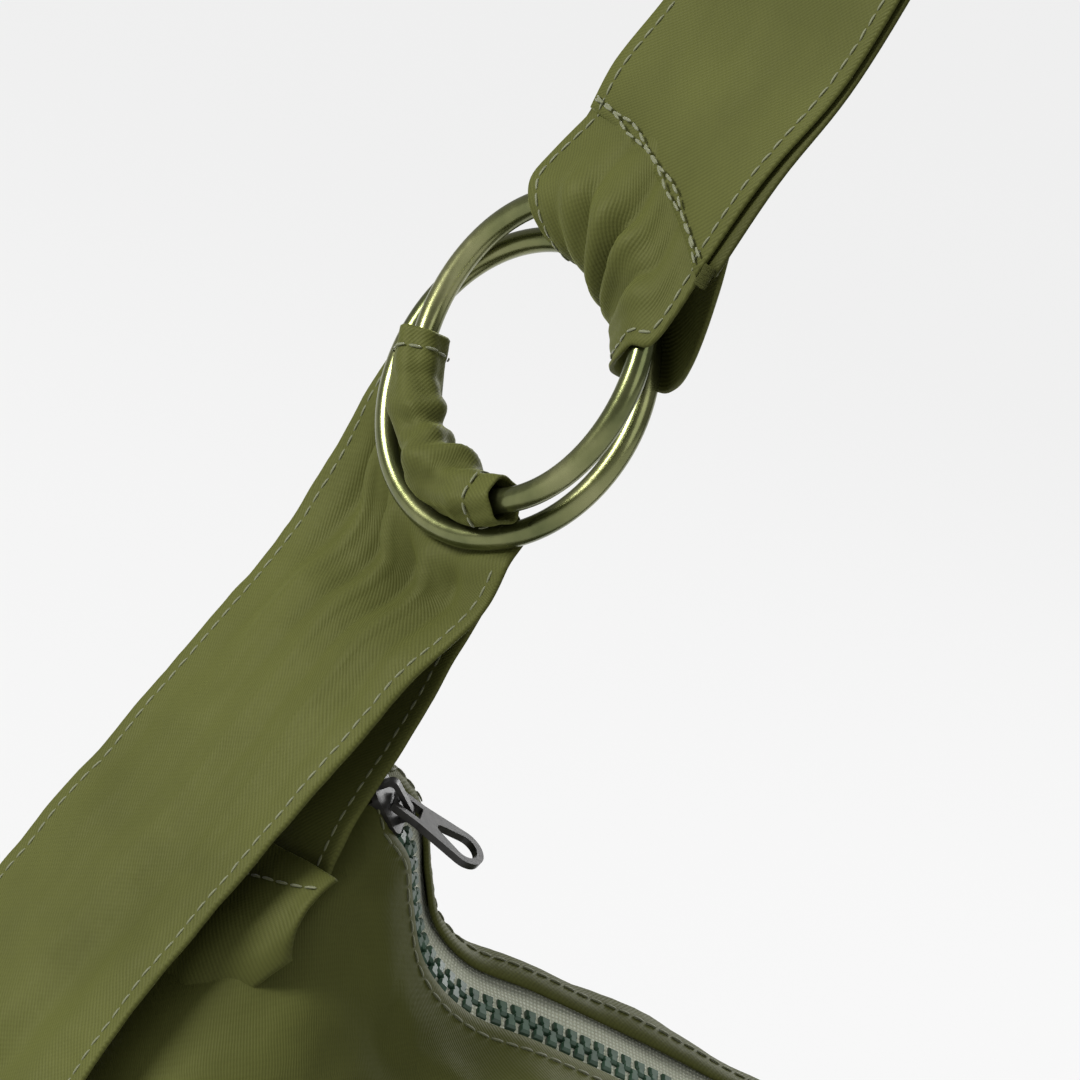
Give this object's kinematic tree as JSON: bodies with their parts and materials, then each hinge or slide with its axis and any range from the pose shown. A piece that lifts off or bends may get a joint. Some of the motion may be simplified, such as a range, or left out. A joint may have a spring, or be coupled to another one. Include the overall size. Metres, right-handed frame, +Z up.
{
  "type": "crossbody purse",
  "caption": "Slouchy zip-top crossbody purse with a wide strap fastened through two rings, and a loose strap tail.",
  "frame": {"origin": "underside of the strap at its highest point, where a shoulder or hook holds the bag up", "axes": "+X along the bag from its ringed end to its plain end, -Y out of its front, +Z up"},
  "size_m": [0.3667, 0.102, 0.5468],
  "materials": {
    "twill": "satin",
    "lining": "matte",
    "thread": "matte",
    "zip_tape": "matte",
    "zip_teeth": "satin",
    "ring_metal": "satin",
    "slider_metal": "gloss"
  },
  "bodies": {
    "bag": {"front_panel": "twill", "back_panel": "twill", "lining_front": "lining", "lining_back": "lining", "slip_pocket": "lining", "zip_tape_front": "zip_tape", "zip_tape_back": "zip_tape", "zip_teeth_front": "zip_teeth", "zip_teeth_back": "zip_teeth", "zip_top_stops": "zip_teeth", "zip_bottom_stop": "zip_teeth", "strap_outer_layer": "twill", "strap_inner_layer": "twill", "strap_loop": "twill", "loop_bartack": "thread", "lower_strap": "twill", "ring_wrap": "twill", "tail_root": "twill", "strap_base_left": "twill", "strap_base_right": "twill"},
    "front_ring": {"ring_front": "ring_metal"},
    "back_ring": {"ring_back": "ring_metal"},
    "loose_tail": {"strap_tail": "twill", "tail_hem": "twill"},
    "slider": {"zip_slider": "slider_metal", "zip_slider_bridge": "slider_metal"},
    "puller": {"zip_puller": "slider_metal"}
  },
  "joints": [
    {"name": "front_ring_turn", "type": "hinge", "parent": "bag", "child": "front_ring", "pos_m": [-0.11087, 0, -0.23767], "axis": [-0.9082, -0.3335, 0.253], "continuous": true},
    {"name": "back_ring_turn", "type": "hinge", "parent": "bag", "child": "back_ring", "pos_m": [-0.10883, 0.00695, -0.24636], "axis": [-0.831, -0.4502, 0.3268], "continuous": true},
    {"name": "tail_lift", "type": "hinge", "parent": "bag", "child": "loose_tail", "pos_m": [-0.11559, 0.01223, -0.27961], "axis": [-0.3175, 0.9426, 0.1032], "range_deg": [0, 45]},
    {"name": "zip_travel", "type": "hinge", "parent": "bag", "child": "slider", "pos_m": [0, 0, -0.2185], "axis": [0, -1, 0], "range_deg": [0, 94.5]},
    {"name": "puller_flip", "type": "hinge", "parent": "slider", "child": "puller", "pos_m": [-0.11287, -0.00113, -0.32013], "axis": [-0.3489, -0.8829, -0.3141], "range_deg": [0, 95]}
  ]
}
